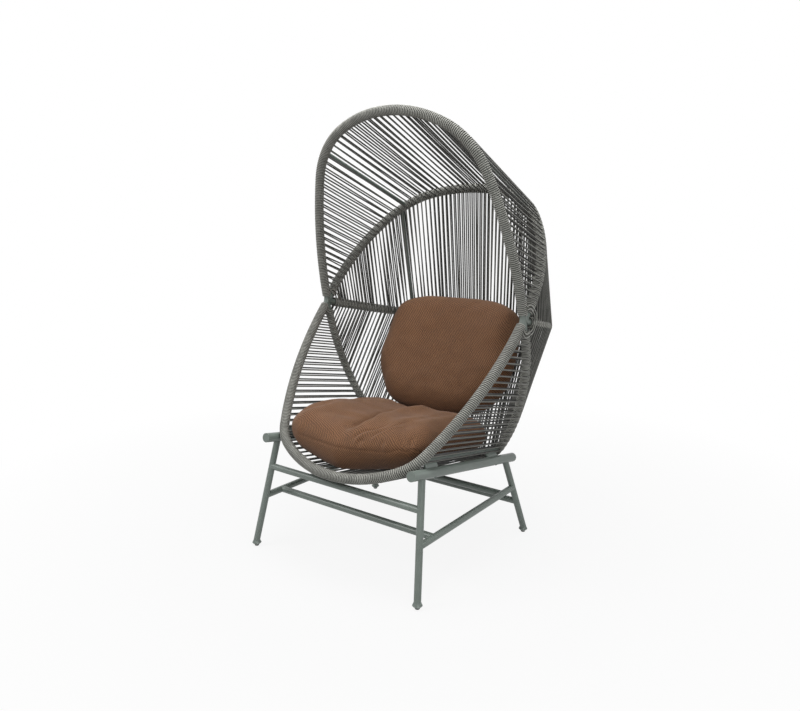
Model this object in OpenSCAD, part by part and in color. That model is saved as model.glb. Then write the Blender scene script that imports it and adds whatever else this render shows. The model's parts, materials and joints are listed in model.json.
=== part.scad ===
// Hooded pod lounge chair: a rope-wound tube pod, two loose cushions and a four-legged tube base.
// Millimetres, Z up. The sitter faces -Y. The origin is on the floor, midway across the whole chair and
// midway between its frontmost and rearmost points.

/* [Base] */
// Outer diameter of a rail
rail_d = 35; // [30:1:37]
// Length of a rail, end to end
rail_l = 694; // [660:2:760]
// How far a rail lies outboard of its seat strut, at the front saddle
rail_out = 22; // [20:1:28]
// How far a rail lies below its seat strut, at the front saddle
rail_drop_front = 38; // [37:1:46]
// How far a rail lies below its seat strut, at the rear saddle
rail_drop_rear = 35; // [33:1:46]
// Distance between the left and right feet
feet_x = 766; // [700:2:860]
// Distance between the front and rear feet
feet_y = 732; // [660:2:820]
// Distance along Y between the tops of the front and rear legs
leg_tops_y = 558; // [480:2:620]
// Outer diameter of the legs and stretchers
leg_d = 25; // [20:1:28]
// Wall of the base's tubes
base_wall = 2; // [1.5:0.1:3]
// Height of the stretcher between the front legs
front_stretcher_z = 312; // [260:2:340]
// Height of the two side stretchers
side_stretcher_z = 198; // [180:2:230]
// Height of the stretcher between the rear legs
rear_stretcher_z = 136; // [90:2:150]
// Distance from a leg to the nearer cross stretcher, along the side stretcher
cross_inset = 85; // [50:1:140]

/* [Feet] */
// Diameter of a foot collar at its rim
collar_d = 35; // [31:1:42]
// Height of the collar's rim above the floor
collar_rim_z = 13; // [11:0.5:16]
// Height of the collar's top, where the leg stands
collar_top_z = 22; // [19:0.5:28]
// Diameter of the black glide under a collar
glide_d = 17; // [14:0.5:20]
// Height of the glide that shows
glide_h = 5; // [4:0.5:7]
// Diameter of the stem that holds the glide in its collar
glide_stem_d = 8; // [5:0.5:10]

/* [Saddles] */
// Distance of the front saddles in front of the feet's middle
saddle_front_y = 208; // [170:2:220]
// Distance of the rear saddles behind the feet's middle
saddle_rear_y = 204; // [160:2:230]
// Length of a saddle along its rail
saddle_l = 72; // [40:1:80]
// Diameter of the bolt through each saddle
bolt_d = 6; // [5:0.5:8]

/* [Pod frame] */
// Distance between the two side joints, where all five arcs meet
joint_span = 930; // [900:2:980]
// Distance of the side joints behind the feet's middle
joint_back = 153; // [140:1:170]
// Height of the side joints
joint_z = 894; // [880:2:1000]
// Outer diameter of the tubes of the rims, the upper arch and the belt
tube_d = 25; // [22:0.5:27]
// Outer diameter of the lower arch's tube
lower_tube_d = 20; // [18:0.5:24]
// Wall of the pod's tubes
tube_wall = 2; // [1.5:0.1:3]
// Diameter of the struts between the arcs
strut_d = 16; // [12:0.5:17]
// Bend radius of the bare elbow at each side joint
elbow_r = 36; // [30:1:40]
// Straight run between two bends of a tube
straight_run = 8; // [5:1:14]

/* [Hood rim] */
// Tilt of the hood rim's plane, from straight back, in degrees
hood_tilt = 104; // [98:1:110]
// Radius of the hood rim's sides
hood_side_r = 1775; // [1500:5:2100]
// Turn of each side, in degrees
hood_side_turn = 15.4; // [14:0.1:17]
// Radius of the hood rim's shoulders
hood_shoulder_r = 300; // [270:1:330]
// Turn of each shoulder, in degrees
hood_shoulder_turn = 47.1; // [44:0.1:50]

/* [Seat rim] */
// Tilt of the seat rim's plane, from straight back, in degrees
seat_tilt = -134; // [-138:1:-130]
// Radius of the seat rim's sides
seat_side_r = 1370; // [1250:5:1500]
// Turn of each side, in degrees
seat_side_turn = 23.2; // [22.5:0.1:24]
// Radius of the seat rim's shoulders
seat_shoulder_r = 183; // [170:1:200]
// Turn of each shoulder, in degrees
seat_shoulder_turn = 34.6; // [33.5:0.1:36]

/* [Upper arch] */
// Tilt of the upper arch's plane, from straight back, in degrees
upper_tilt = 50; // [45:1:55]
// Radius of the upper arch's sides
upper_side_r = 687; // [650:1:730]
// Turn of each side, in degrees
upper_side_turn = 36.7; // [34:0.1:39]
// Radius of the upper arch's shoulders
upper_shoulder_r = 309; // [280:1:340]
// Turn of each shoulder, in degrees
upper_shoulder_turn = 40.5; // [38:0.1:44]

/* [Belt] */
// Tilt of the belt's plane, from straight back, in degrees
belt_tilt = -12; // [-16:1:-8]
// Radius of the belt's sides
belt_side_r = 814; // [740:2:900]
// Turn of each side, in degrees
belt_side_turn = 12.8; // [11.5:0.1:14]
// Radius of the belt's shoulders
belt_shoulder_r = 208; // [196:2:220]
// Turn of each shoulder, in degrees
belt_shoulder_turn = 57.6; // [55:0.2:60]

/* [Lower arch] */
// Tilt of the lower arch's plane, from straight back, in degrees
lower_tilt = -76.2; // [-78:0.1:-75]
// Radius of the lower arch's sides
lower_side_r = 860; // [830:5:900]
// Turn of each side, in degrees
lower_side_turn = 34; // [33:0.1:35]
// Radius of the lower arch's shoulders
lower_shoulder_r = 232; // [210:2:260]
// Turn of each shoulder, in degrees
lower_shoulder_turn = 50.3; // [48:0.1:53]

/* [Rope] */
// Diameter of the rope
rope_d = 6; // [5:0.25:6.5]
// Half the distance between the outer and the inner layer of strands
layer_offset = 12; // [11.5:0.25:12.5]
// Distance between the strands of one layer of the hood, along the hood rim
hood_pitch = 27.5; // [24:0.5:36]
// Distance between the strands of one layer of the upper back, along the upper arch
upper_back_pitch = 20; // [19:0.5:30]
// Distance between the strands of one layer of the lower back, along the belt
lower_back_pitch = 18.5; // [18:0.5:30]
// Distance between the strands of one layer of the seat, along the seat rim
seat_pitch = 27.5; // [26:0.5:36]
// Distance from a side joint to the first strands
first_strand = 62; // [58:1:90]

/* [Cushions] */
// Thickness of the seat cushion
seat_cushion_t = 165; // [120:5:180]
// Width of the seat cushion, over its curve
seat_cushion_w = 840; // [700:5:860]
// Distance from the front rim's centre line to the seat cushion's front edge
seat_cushion_front = 16; // [8:1:60]
// Distance from the lower arch's centre line to the seat cushion's back edge
seat_cushion_back = 14; // [8:1:60]
// Thickness of the back cushion
back_cushion_t = 160; // [120:5:180]
// Width of the back cushion, over its curve
back_cushion_w = 840; // [700:5:860]
// Height of the back cushion, over its curve
back_cushion_h = 500; // [420:5:505]
// How far the back cushion stands above the belt's centre line
back_cushion_over = 64; // [30:1:66]

/* [Hidden] */
$fn = 64;
cut_spin = 50;
wall_spin = 20;
bore_spin = 130;
weld_gap = 0.1;          // between a coped tube end and the tube that it is welded to
rope_gap = 0.2;          // between a rope and the rope or strut beside it
sleeve_gap = 0.15;       // between the windings and the tube under them
overrun = 4;             // how far a cutter runs past what it cuts
lap = 1;                 // how far a straight run laps the bends at its ends
swell = 0.02;            // how much thicker it is than the bends
sleeve_start = 22;       // where the rims' windings start, from the side joint
lead_over = 3;
lead = tube_d + 2*rope_d + lead_over;   // straight run at a side joint, past where the wound tubes part

// Splay at the side joints: how far an arc heads outwards there, in degrees.
rim_splay = -2.4;
upper_splay = 2.5;
belt_splay = 0;
lower_splay = 1.1;

// Each arc is a plane curve through both side joints: a straight lead, a slack side, a tight shoulder
// and a crown that closes it, with short straight runs between them. Its list holds the tilt of its
// plane, its splay, the radius and turn of a side, those of a shoulder, and the diameter of its tube.
HOOD_RIM = [hood_tilt, rim_splay, hood_side_r, hood_side_turn, hood_shoulder_r, hood_shoulder_turn, tube_d];
UPPER_ARCH = [upper_tilt, upper_splay, upper_side_r, upper_side_turn,
    upper_shoulder_r, upper_shoulder_turn, tube_d];
BELT = [belt_tilt, belt_splay, belt_side_r, belt_side_turn, belt_shoulder_r, belt_shoulder_turn, tube_d];
LOWER_ARCH = [lower_tilt, lower_splay, lower_side_r, lower_side_turn,
    lower_shoulder_r, lower_shoulder_turn, lower_tube_d];
SEAT_RIM = [seat_tilt, rim_splay, seat_side_r, seat_side_turn, seat_shoulder_r, seat_shoulder_turn, tube_d];

function tilt(a) = a[0];
function splay(a) = a[1];
function side_r(a) = a[2];
function side_end(a) = a[3] - a[1];
function side_turn(a) = a[3];
function shoulder_r(a) = a[4];
function shoulder_turn(a) = a[5];
function shoulder_end(a) = a[3] - a[1] + a[5];
function bare_r(a) = a[6]/2;
function wound_r(a) = a[6]/2 + rope_d;

// The half curve in its own plane, x outwards and y away from the joints. Headings are in degrees, 0
// along y and growing inwards. A bend runs from one heading to another, and a run goes straight on.
function bend(p, r, from, to) = p + r*[cos(to) - cos(from), sin(to) - sin(from)];
function run_on(p, heading, l) = p + l*[-sin(heading), cos(heading)];
function side_start(a) = run_on([joint_span/2, 0], -splay(a), lead);
function side_stop(a) = bend(side_start(a), side_r(a), -splay(a), side_end(a));
function shoulder_start(a) = run_on(side_stop(a), side_end(a), straight_run);
function shoulder_stop(a) = bend(shoulder_start(a), shoulder_r(a), side_end(a), shoulder_end(a));
function crown_start(a) = run_on(shoulder_stop(a), shoulder_end(a), straight_run);
function crown_r(a) = (crown_start(a)[0] - straight_run/2)/cos(shoulder_end(a));
function crown_turn(a) = 90 - shoulder_end(a);
function rise(a) = crown_start(a)[1] + crown_r(a)*(1 - sin(shoulder_end(a)));

// Distances along the half curve, from the joint to the end of each piece.
function bend_l(r, turn) = r*turn*PI/180;
function side_l(a) = lead + bend_l(side_r(a), a[3]);
function run_l(a) = side_l(a) + straight_run;
function shoulder_l(a) = run_l(a) + bend_l(shoulder_r(a), a[5]);
function crown_l(a) = shoulder_l(a) + straight_run;
function middle_l(a) = crown_l(a) + bend_l(crown_r(a), crown_turn(a));
function half_l(a) = middle_l(a) + straight_run/2;

// [x, y, heading] of the half curve at a distance from the joint.
function on_run(p, heading, l) = let (q = run_on(p, heading, l)) [q[0], q[1], heading];
function on_bend(p, r, from, l) = let (to = from + l/r*180/PI, q = bend(p, r, from, to)) [q[0], q[1], to];
function along(a, s) =
    s < lead ? on_run([joint_span/2, 0], -splay(a), s)
    : s < side_l(a) ? on_bend(side_start(a), side_r(a), -splay(a), s - lead)
    : s < run_l(a) ? on_run(side_stop(a), side_end(a), s - side_l(a))
    : s < shoulder_l(a) ? on_bend(shoulder_start(a), shoulder_r(a), side_end(a), s - run_l(a))
    : s < crown_l(a) ? on_run(shoulder_stop(a), shoulder_end(a), s - shoulder_l(a))
    : s < middle_l(a) ? on_bend(crown_start(a), crown_r(a), shoulder_end(a), s - crown_l(a))
    : [half_l(a) - s, rise(a), 90];

// The front feet are frontmost and the belt's windings rearmost, and the origin lies midway.
front_reach = (feet_y + collar_d)/2;
rear_reach = joint_back + rise(BELT)*cos(tilt(BELT)) + wound_r(BELT) + swell;
feet_mid_y = (front_reach - rear_reach)/2;
joint_y = feet_mid_y + joint_back;

// The same in the chair's own axes. side is -1 on the left and 1 on the right.
function spot(a, side, s) =
    let (q = along(a, s)) [side*q[0], joint_y + q[1]*cos(tilt(a)), joint_z + q[1]*sin(tilt(a))];
function way(a, side, s) =
    let (h = along(a, s)[2]) [-side*sin(h), cos(h)*cos(tilt(a)), cos(h)*sin(tilt(a))];
function unit(v) = v/norm(v);

// The fans of strands, each between two neighbouring arcs: the arcs, the steps in half an arc, and the
// share of the way from the middle to the joint where a strut stands. A place in a fan is a number of
// steps from the middle of both arcs.
strut_share = 0.37;
back_strut_share = 0.386;
function steps(a, pitch) = round(half_l(a)/pitch);
HOOD = [HOOD_RIM, UPPER_ARCH, steps(HOOD_RIM, hood_pitch), strut_share];
UPPER_BACK = [UPPER_ARCH, BELT, steps(UPPER_ARCH, upper_back_pitch), back_strut_share];
LOWER_BACK = [BELT, LOWER_ARCH, steps(BELT, lower_back_pitch)];
SEAT = [LOWER_ARCH, SEAT_RIM, steps(SEAT_RIM, seat_pitch), strut_share];
function step_at(a, fan, k) = half_l(a)*(1 - k/fan[2]);

// Struts stand midway between two outer strands.
function strut_step(fan) = round(fan[2]*fan[3]);
function strut_ends(fan, side) = [for (a = [fan[0], fan[1]]) spot(a, side, step_at(a, fan, strut_step(fan)))];

// The rails hang from the seat struts at the saddles.
function strut_at(side, y) =
    let (e = strut_ends(SEAT, side)) e[0] + (e[1] - e[0])*(y - e[0][1])/(e[1][1] - e[0][1]);
front_saddle_at = feet_mid_y - saddle_front_y;
rear_saddle_at = feet_mid_y + saddle_rear_y;
rail_x = strut_at(1, front_saddle_at)[0] + rail_out;
rail_front_z = strut_at(1, front_saddle_at)[2] - rail_drop_front;
rail_rear_z = strut_at(1, rear_saddle_at)[2] - rail_drop_rear;
function rail_at(side, y) = [side*rail_x, y,
    rail_front_z + (rail_rear_z - rail_front_z)*(y - front_saddle_at)/(rear_saddle_at - front_saddle_at)];
rail_way = unit(rail_at(1, rear_saddle_at) - rail_at(1, front_saddle_at));
function rail_middle(side) = rail_at(side, feet_mid_y);

// The legs lean in towards the rails. side is left or right, and end is -1 in front and 1 behind.
function leg_foot(side, end) = [side*feet_x/2, feet_mid_y + end*feet_y/2, collar_top_z];
function leg_top(side, end) = rail_at(side, feet_mid_y + end*leg_tops_y/2);
function leg_at(side, end, z) = let (p = leg_foot(side, end), q = leg_top(side, end))
    p + (q - p)*(z - p[2])/(q[2] - p[2]);
function cross_at(side, end) = let (p = leg_at(side, end, side_stretcher_z))
    p + cross_inset*unit(leg_at(side, -end, side_stretcher_z) - p);

// Cushions lie in the bowl, so their outlines are set on the fans: a place across, as a share of half
// an arc, a place along the strands, as a share of their length, and a height over the tubes' plane.
cushion_gap = 3;
cushion_sides = 44;
seat_power = 7;          // how square an outline's corners are
back_power = 3.8;
under_power = 7;         // how flat an underside is, and a top
over_power = 5;
drawn_share = 0.018;     // how far an outline is drawn in between its corners
seat_taper_share = 0;
seat_bow_share = 0.1;
back_taper_share = 0.05;
level_shares = [0.3, 0.55, 0.74, 0.87, 0.95, 0.985, 1];
function bowl_point(fan, across, along_share, height) = let (
    side = across < 0 ? -1 : 1,
    k = abs(across)*fan[2],
    s = step_at(fan[0], fan, k),
    t = step_at(fan[1], fan, k),
    p = spot(fan[0], side, s),
    q = spot(fan[1], side, t),
    p_in = p - side*height*unit(cross(q - p, way(fan[0], side, s))),
    q_in = q - side*height*unit(cross(q - p, way(fan[1], side, t))))
    p_in + (q_in - p_in)*along_share;
function corner(c, power) = sign(c)*pow(abs(c), 2/power);
// A cushion's list holds its fan, its half width and the two ends of its outline as shares, the height
// of its underside, its thickness, how much wider it is at the front rim's or the lower arch's end, and
// how square its corners are, and how far its corners at that end stand past its middle.
function middle_length(fan) = norm(spot(fan[1], 1, half_l(fan[1])) - spot(fan[0], 1, half_l(fan[0])));
function cushion_half(fan, w) = w/(half_l(fan[0]) + half_l(fan[1]));
SEAT_CUSHION = [SEAT, cushion_half(SEAT, seat_cushion_w), seat_cushion_back/middle_length(SEAT),
    1 - seat_cushion_front/middle_length(SEAT), layer_offset + rope_d/2 + cushion_gap,
    seat_cushion_t, seat_taper_share, seat_power, seat_bow_share];
BACK_CUSHION = [LOWER_BACK, cushion_half(LOWER_BACK, back_cushion_w),
    -back_cushion_over/middle_length(LOWER_BACK),
    (back_cushion_h - back_cushion_over)/middle_length(LOWER_BACK), tube_d/2 + rope_d + cushion_gap,
    back_cushion_t, back_taper_share, back_power, 0];
function cushion_point(c, level, up, turn) = let (
    reach = level*(1 - drawn_share*(1 - abs(sin(2*turn)))),
    aside = reach*corner(cos(turn), c[7]),
    straight = reach*corner(sin(turn), c[7]),
    along = straight*(1 + (straight > 0 ? c[8]*pow(aside, 2) : 0)),
    across = c[1]*(1 + c[6]*straight)*aside,
    along_share = (c[2] + c[3])/2 + (c[3] - c[2])/2*along,
    round_off = sqrt(1 - pow(level, up > 0 ? over_power : under_power)))
    bowl_point(c[0], across, along_share, c[4] + c[5]/2*(1 + up*round_off));
function cushion_rows(c) = concat([for (l = level_shares) [l, -1]],
    [for (i = [len(level_shares) - 2:-1:0]) [level_shares[i], 1]]);

frame_colour = "#6f7b74";
rope_colour = "#6c6c67";
cushion_colour = "#7a5742";
glide_colour = "#1d1d1d";
bolt_colour = "#4d5350";

// spin turns a bar about itself, which moves the line where its round face closes.
module bar(p, q, r, spin = 0) {
    v = q - p;
    translate(p) rotate([0, acos(v[2]/norm(v)), atan2(v[1], v[0])]) rotate([0, 0, spin])
        cylinder(h = norm(v), r = r);
}
module tube(p, q, r, wall) {
    v = unit(q - p);
    difference() {
        bar(p, q, r, wall_spin);
        bar(p - v*overrun, q + v*overrun, r - wall, bore_spin);
    }
}
// Puts x, y and z of what it holds along three square directions from a point.
module stand(p, x, y, z) {
    multmatrix([for (i = [0:2]) [x[i], y[i], z[i], p[i]]]) children();
}
module ring(r, hole_r) {
    difference() {
        circle(r);
        circle(hole_r);
    }
}

module in_plane(a) translate([0, joint_y, joint_z]) rotate([tilt(a), 0, 0]) children();
module both_sides() {
    children();
    mirror([1, 0, 0]) children();
}
module mirrored(side) mirror([side > 0 ? 1 : 0, 0, 0]) children();

// A tube is laid in steps along y, each turning left: straight runs, bends, and what comes after them.
module onward(l) translate([0, l, 0]) children();
module past_bend(bend_r, turn)
    translate([-bend_r, 0, 0]) rotate([0, 0, turn]) translate([bend_r, 0, 0]) children();
// A run laps the bends at its ends, and is a hair thicker, so that the laid pieces make one solid.
module run_piece(l, r, hole_r)
    onward(-lap) rotate([-90, 0, 0]) linear_extrude(l + 2*lap) ring(r + swell, hole_r - swell);
module bend_piece(bend_r, turn, r, hole_r)
    translate([-bend_r, 0, 0]) rotate_extrude(angle = turn) translate([bend_r, 0]) ring(r, hole_r);
module half_sweep(a, start, r, hole_r) onward(straight_run/2) {
    bend_piece(crown_r(a), crown_turn(a), r, hole_r);
    past_bend(crown_r(a), crown_turn(a)) {
        run_piece(straight_run, r, hole_r);
        onward(straight_run) bend_piece(shoulder_r(a), shoulder_turn(a), r, hole_r);
        onward(straight_run) past_bend(shoulder_r(a), shoulder_turn(a)) {
            run_piece(straight_run, r, hole_r);
            onward(straight_run) bend_piece(side_r(a), side_turn(a), r, hole_r);
            onward(straight_run) past_bend(side_r(a), side_turn(a)) run_piece(lead - start - lap, r, hole_r);
        }
    }
}
// Sweeps a ring along an arc, from start to start, measured from the side joints.
module arc_sweep(a, start, r, hole_r) in_plane(a) {
    translate([straight_run/2, rise(a), 0]) rotate([0, 0, 90]) run_piece(straight_run, r, hole_r);
    both_sides() translate([0, rise(a), 0]) rotate([0, 0, 90]) half_sweep(a, start, r, hole_r);
}

// The rims run on into each other through a bare elbow at each side joint.
function rim_way(a) = way(a, 1, 0);
elbow_inner = acos(rim_way(HOOD_RIM)*rim_way(SEAT_RIM));
elbow_reach = elbow_r/tan(elbow_inner/2);
module elbow_sweep(r, hole_r) {
    out = -unit(rim_way(HOOD_RIM) + rim_way(SEAT_RIM));
    square_to = unit(cross(rim_way(SEAT_RIM), rim_way(HOOD_RIM)));
    centre = [joint_span/2, joint_y, joint_z] - out*elbow_r/sin(elbow_inner/2);
    stand(centre, out, cross(square_to, out), square_to) rotate([0, 0, elbow_inner/2 - 90])
        rotate_extrude(angle = 180 - elbow_inner) translate([elbow_r, 0]) ring(r, hole_r);
}
module side_elbow(side) color(frame_colour)
    mirror([side < 0 ? 1 : 0, 0, 0]) elbow_sweep(tube_d/2, tube_d/2 - tube_wall);
module rim_tube(a) color(frame_colour) arc_sweep(a, elbow_reach, bare_r(a), bare_r(a) - tube_wall);
module hood_rim_tube() rim_tube(HOOD_RIM);
module seat_rim_tube() rim_tube(SEAT_RIM);
module rim_wrap(a, fan, arch) color(rope_colour) difference() {
    arc_sweep(a, sleeve_start, wound_r(a), bare_r(a) + sleeve_gap);
    strut_ways(fan);
    both_sides() bar(spot(arch, 1, 0), spot(arch, 1, 2*lead), bare_r(arch) + sleeve_gap, cut_spin);
}
module hood_rim_wrap() rim_wrap(HOOD_RIM, HOOD, UPPER_ARCH);
module seat_rim_wrap() rim_wrap(SEAT_RIM, SEAT, LOWER_ARCH);

// The other arcs are coped to the rims and mitred to each other at the side joints. A mitre is half
// the angle between two arcs.
function mitre(a, b) = abs(tilt(a) - tilt(b))/2;
module mitre_cut(a, angle, up) in_plane(a) both_sides() translate([joint_span/2 - lead, 0, 0])
    rotate([90, 0, 90]) linear_extrude(2*lead) polygon([[rope_gap, 0],
        [2*lead, up*(2*lead - rope_gap)*tan(angle)], [2*lead, up*2*lead], [-lead, up*2*lead], [-lead, 0]]);
module rims_cut(grow) both_sides() {
    elbow_sweep(tube_d/2 + weld_gap, 0);
    for (rim = [HOOD_RIM, SEAT_RIM])
        bar(spot(rim, 1, elbow_reach - overrun), spot(rim, 1, elbow_reach + 2*lead), tube_d/2 + grow);
}
module arch_tube(a) color(frame_colour) difference() {
    arc_sweep(a, 0, bare_r(a), bare_r(a) - tube_wall);
    rims_cut(weld_gap);
    children();
}
module arch_wrap(a) color(rope_colour) difference() {
    arc_sweep(a, sleeve_start + rope_d, wound_r(a), bare_r(a) + sleeve_gap);
    rims_cut(rope_d + rope_gap);
    children();
}
module upper_mitre() mitre_cut(UPPER_ARCH, mitre(UPPER_ARCH, BELT), -1);
module belt_mitres() {
    mitre_cut(BELT, mitre(UPPER_ARCH, BELT), 1);
    mitre_cut(BELT, mitre(BELT, LOWER_ARCH), -1);
}
module lower_mitre() mitre_cut(LOWER_ARCH, mitre(BELT, LOWER_ARCH), 1);
module upper_arch_tube() arch_tube(UPPER_ARCH) upper_mitre();
module belt_tube() arch_tube(BELT) belt_mitres();
module lower_arch_tube() arch_tube(LOWER_ARCH) lower_mitre();
module upper_arch_wrap() arch_wrap(UPPER_ARCH) {
    upper_mitre();
    strut_ways(HOOD);
    strut_ways(UPPER_BACK);
}
module belt_wrap() arch_wrap(BELT) {
    belt_mitres();
    strut_ways(UPPER_BACK);
}
module lower_arch_wrap() arch_wrap(LOWER_ARCH) {
    lower_mitre();
    strut_ways(SEAT);
}

// Struts run from tube to tube between the two layers of strands, coped to the tubes.
module strut_ways(fan) for (side = [-1, 1]) {
    e = strut_ends(fan, side);
    bar(e[0], e[1], strut_d/2 + rope_gap);
}
module strut_cope(a, fan, side) {
    s = step_at(a, fan, strut_step(fan));
    p = spot(a, side, s);
    v = way(a, side, s);
    bar(p - v*strut_d, p + v*strut_d, bare_r(a) + weld_gap);
}
module struts(fan, wall) color(frame_colour) for (side = [-1, 1]) difference() {
    e = strut_ends(fan, side);
    if (wall > 0) tube(e[0], e[1], strut_d/2, wall);
    else bar(e[0], e[1], strut_d/2);
    strut_cope(fan[0], fan, side);
    strut_cope(fan[1], fan, side);
    if (wall == 0) for (y = [front_saddle_at, rear_saddle_at]) at_saddle(side, y)
        cylinder(h = saddle_rise(side, y) + bolt_bite(), r = bolt_d/2 + weld_gap/2);
}
module hood_struts() struts(HOOD, tube_wall);
module back_struts() struts(UPPER_BACK, tube_wall);
module seat_struts() struts(SEAT, 0);

// A strand lies beside its tubes' centre lines, and stops where it meets the windings.
function strand_trim(a, v, w) = let (c = abs(v*w), s = sqrt(1 - c*c))
    (sqrt(pow(wound_r(a) + rope_gap, 2) - pow(layer_offset - rope_d/2, 2)) + c*rope_d/2)/s;
function strand_ends(fan, k, side, layer) = let (
    s = step_at(fan[0], fan, k),
    t = step_at(fan[1], fan, k),
    p = spot(fan[0], side, s),
    q = spot(fan[1], side, t),
    v = way(fan[0], side, s),
    w = way(fan[1], side, t),
    p_off = p + layer*side*layer_offset*unit(cross(q - p, v)),
    q_off = q + layer*side*layer_offset*unit(cross(q - p, w)),
    d = unit(q_off - p_off))
    [p_off + d*strand_trim(fan[0], d, v), q_off - d*strand_trim(fan[1], d, w)];
module strand(fan, k, side, layer) {
    e = strand_ends(fan, k, side, layer);
    bar(e[0], e[1], rope_d/2, $fn = 16);
}
// The outer layer's strands stand half a step away from the inner layer's.
module strands(fan, layer) color(rope_colour) {
    first = layer > 0 ? 1/2 : 0;
    last = fan[2]*(1 - first_strand/min(half_l(fan[0]), half_l(fan[1])));
    for (k = [first:1:last], side = [-1, 1]) if (k > 0 || side > 0) strand(fan, k, side, layer);
}
module hood_outer_strands() strands(HOOD, 1);
module hood_inner_strands() strands(HOOD, -1);
module upper_back_outer_strands() strands(UPPER_BACK, 1);
module upper_back_inner_strands() strands(UPPER_BACK, -1);
module lower_back_outer_strands() strands(LOWER_BACK, 1);
module lower_back_inner_strands() strands(LOWER_BACK, -1);
module seat_outer_strands() strands(SEAT, 1);
module seat_inner_strands() strands(SEAT, -1);

// A saddle fills the space between its rail and its seat strut, and a bolt from under the rail goes
// up through it into the strut. The inboard strand beside the strut lies in a groove of the saddle.
// at_saddle has z from the rail's centre line to the strut's.
saddle_w = 0.875*strut_d;
bolt_head_d = 1.75*bolt_d;
bolt_head_h = 0.55*bolt_d;
counterbore_h = 2;
bolt_seat = rail_d/2 - counterbore_h;
head_room = 1;
function bolt_bite() = strut_d/4;
function saddle_foot(side, y) =
    let (p = strut_at(side, y), q = rail_at(side, y)) q + rail_way*((p - q)*rail_way);
function saddle_rise(side, y) = norm(strut_at(side, y) - saddle_foot(side, y));
module at_saddle(side, y) {
    q = saddle_foot(side, y);
    up = unit(strut_at(side, y) - q);
    stand(q, rail_way, cross(up, rail_way), up) children();
}
module saddle(side, y) difference() {
    at_saddle(side, y) difference() {
        linear_extrude(saddle_rise(side, y)) {
            square([saddle_l - saddle_w, saddle_w], center = true);
            for (x = [-1, 1]) translate([x*(saddle_l - saddle_w)/2, 0]) circle(saddle_w/2);
        }
        rotate([0, 90, 0]) cylinder(h = 2*saddle_l, r = rail_d/2 + weld_gap, center = true);
        cylinder(h = 2*saddle_rise(side, y), r = bolt_d/2 + rope_gap, center = true);
    }
    e = strut_ends(SEAT, side);
    bar(e[0], e[1], strut_d/2 + weld_gap);
    inboard = strand_ends(SEAT, strut_step(SEAT) - 1/2, side, 1);
    bar(inboard[0], inboard[1], rope_d/2 + rope_gap);
}
module saddles() color(frame_colour)
    for (side = [-1, 1], y = [front_saddle_at, rear_saddle_at]) saddle(side, y);
module saddle_bolts() color(bolt_colour)
    for (side = [-1, 1], y = [front_saddle_at, rear_saddle_at]) at_saddle(side, y) {
        translate([0, 0, -bolt_seat])
            cylinder(h = bolt_seat + saddle_rise(side, y) + bolt_bite() - rope_gap, r = bolt_d/2);
        translate([0, 0, -bolt_seat - bolt_head_h]) difference() {
            cylinder(h = bolt_head_h, r1 = bolt_head_d/2 - bolt_head_h/3, r2 = bolt_head_d/2);
            translate([0, 0, -overrun]) cylinder(h = overrun + bolt_head_h/2, r = bolt_d/4, $fn = 6);
        }
    }

// Base
module rail(side) color(frame_colour) difference() {
    tube(rail_middle(side) - rail_way*(rail_l/2 - cap_h), rail_middle(side) + rail_way*(rail_l/2 - cap_h),
        rail_d/2, base_wall);
    for (y = [front_saddle_at, rear_saddle_at]) at_saddle(side, y) {
        translate([0, 0, -rail_d]) cylinder(h = 2*rail_d, r = bolt_d/2 + rope_gap);
        translate([0, 0, -bolt_seat - rail_d/2]) cylinder(h = rail_d/2, r = bolt_head_d/2 + head_room);
    }
}
cap_h = 2.5;
cap_spigot_l = 14;
module rail_end_caps() color(frame_colour) for (side = [-1, 1], end = [-1, 1]) {
    out = end*rail_way;
    p = rail_middle(side) + out*(rail_l/2 - cap_h);
    bar(p, p + out*cap_h, rail_d/2);
    bar(p - out*cap_spigot_l, p, rail_d/2 - base_wall - weld_gap);
}
module leg(side, end) color(frame_colour) mirrored(side) difference() {
    p = leg_foot(-1, end);
    q = leg_top(-1, end);
    tube(p - leg_d/2*unit(q - p), q, leg_d/2, base_wall);
    translate([p[0], p[1], p[2] - leg_d]) cylinder(h = leg_d, r = leg_d);
    bar(q - rail_way*rail_d, q + rail_way*rail_d, rail_d/2 + weld_gap, cut_spin);
}
// A stretcher runs between two points on the centre lines of the tubes that it is coped to.
module stretcher(p, q, p_way, q_way) color(frame_colour) difference() {
    tube(p, q, leg_d/2, base_wall);
    bar(p - p_way*leg_d, p + p_way*leg_d, leg_d/2 + weld_gap);
    bar(q - q_way*leg_d, q + q_way*leg_d, leg_d/2 + weld_gap);
}
function leg_way(side, end) = unit(leg_top(side, end) - leg_foot(side, end));
module leg_stretcher(end, z)
    stretcher(leg_at(-1, end, z), leg_at(1, end, z), leg_way(-1, end), leg_way(1, end));
module front_stretcher() leg_stretcher(-1, front_stretcher_z);
module rear_stretcher() leg_stretcher(1, rear_stretcher_z);
module side_stretcher(side) stretcher(leg_at(side, -1, side_stretcher_z), leg_at(side, 1, side_stretcher_z),
    leg_way(side, -1), leg_way(side, 1));
function side_way(side) = unit(leg_at(side, 1, side_stretcher_z) - leg_at(side, -1, side_stretcher_z));
module cross_stretcher(end) stretcher(cross_at(-1, end), cross_at(1, end), side_way(-1), side_way(1));

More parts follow.
